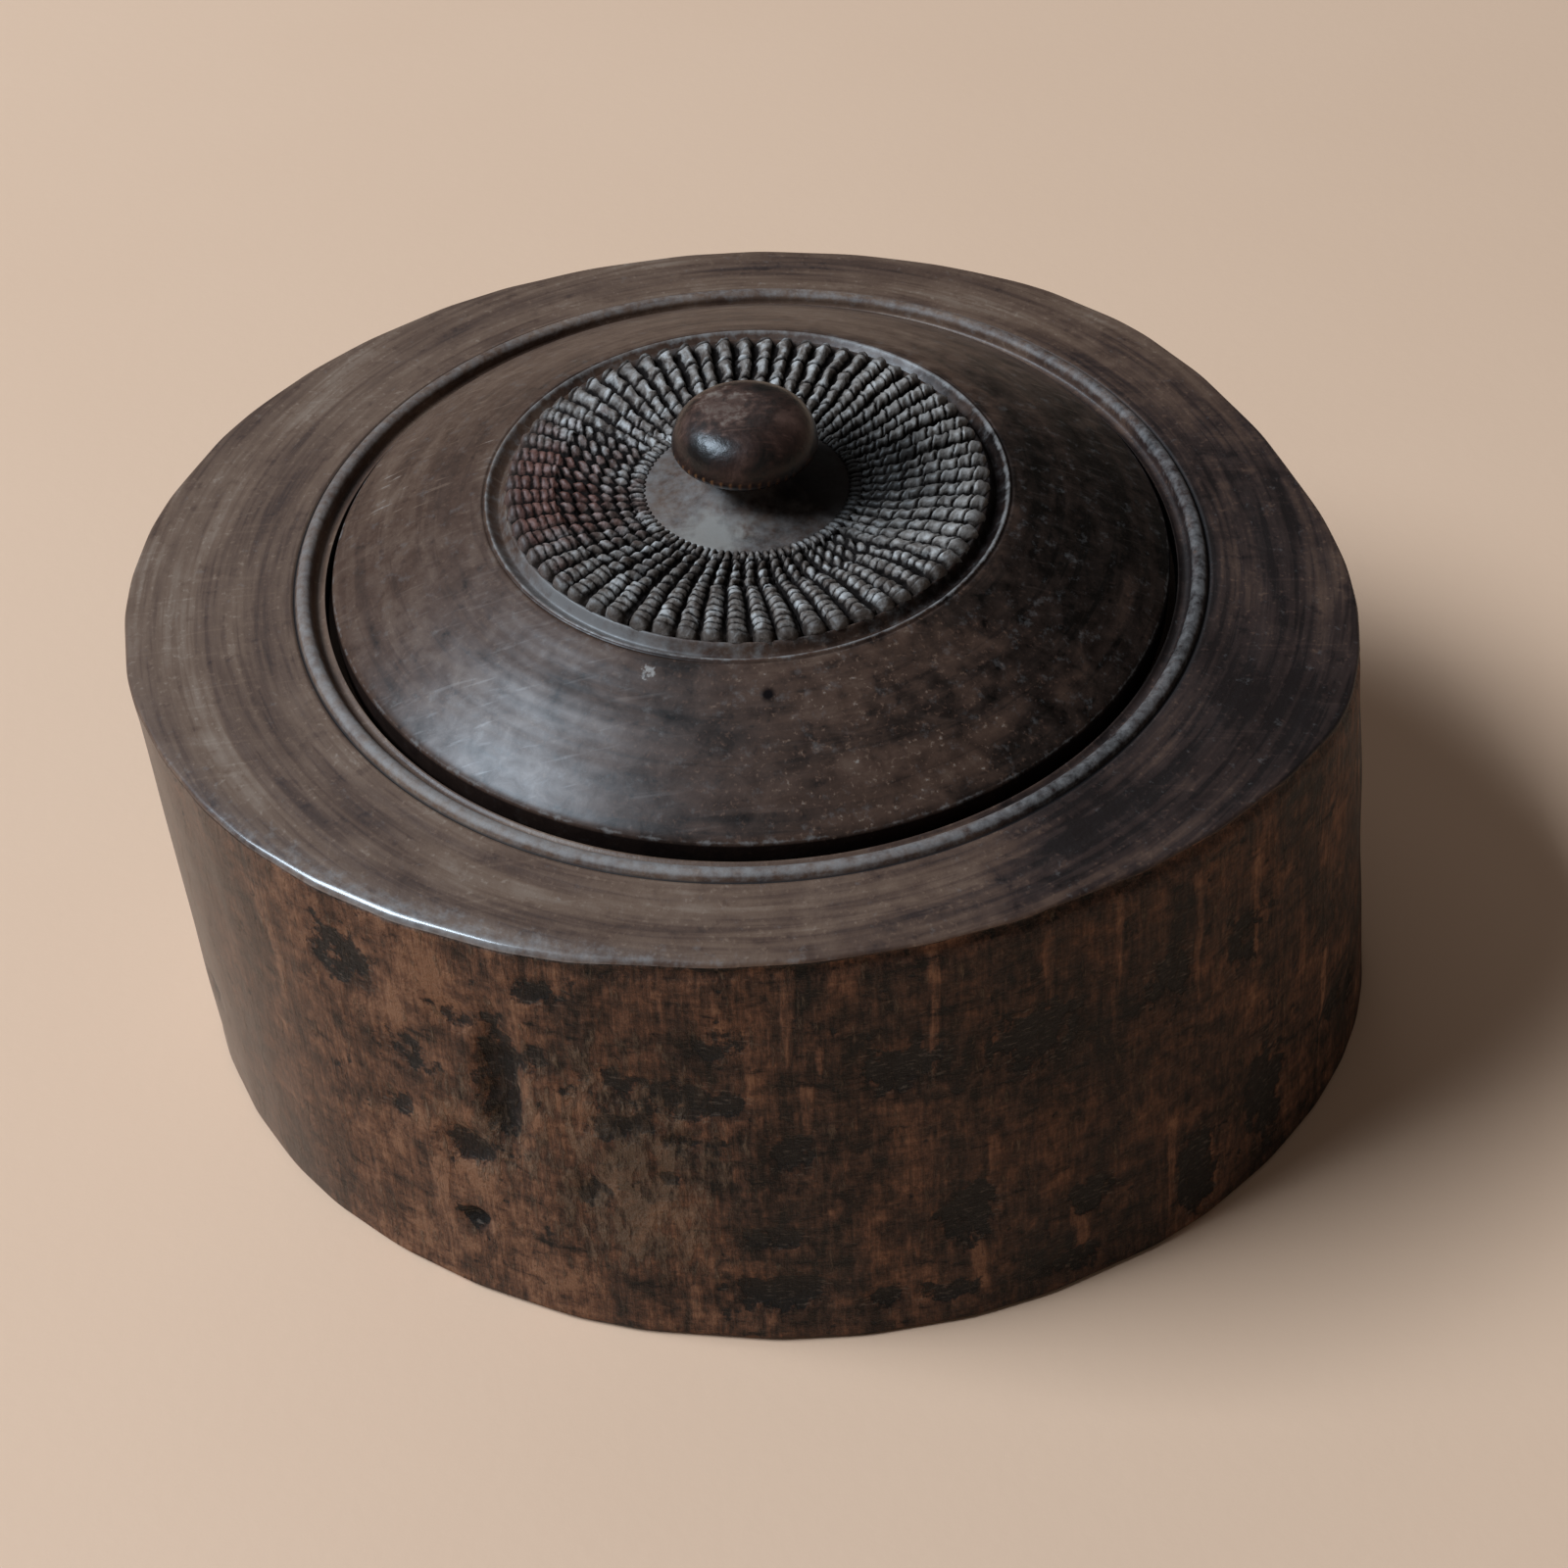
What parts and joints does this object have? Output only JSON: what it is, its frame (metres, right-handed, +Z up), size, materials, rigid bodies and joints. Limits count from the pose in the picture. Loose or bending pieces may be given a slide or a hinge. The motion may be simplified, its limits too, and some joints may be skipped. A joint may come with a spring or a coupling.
{
  "type": "wooden lidded box",
  "caption": "Squat wooden box, hewn oval outside and turned at the mouth, with a lift-off domed lid that has a carved basket-weave well round a peg knob.",
  "frame": {"origin": "on the turning axis, at the flat base the box stands on", "axes": "+Z up along the turning axis, +X to the right along the long way of the oval, -Y to the front as seen in the picture"},
  "size_m": [0.2211, 0.1973, 0.1244],
  "materials": {
    "drum_wood": "hewn, smoke-darkened and worn",
    "lid_wood": "turned, waxed and dusty in the carving",
    "knob_wood": "turned and polished by use"
  },
  "bodies": {
    "box_body": {"drum": "drum_wood"},
    "lid_body": {"lid": "lid_wood", "knob": "knob_wood"}
  },
  "joints": [
    {"name": "lid_lift", "type": "slide", "parent": "box_body", "child": "lid_body", "axis": [0, 0, 1], "range_m": [0, 0.08]}
  ]
}
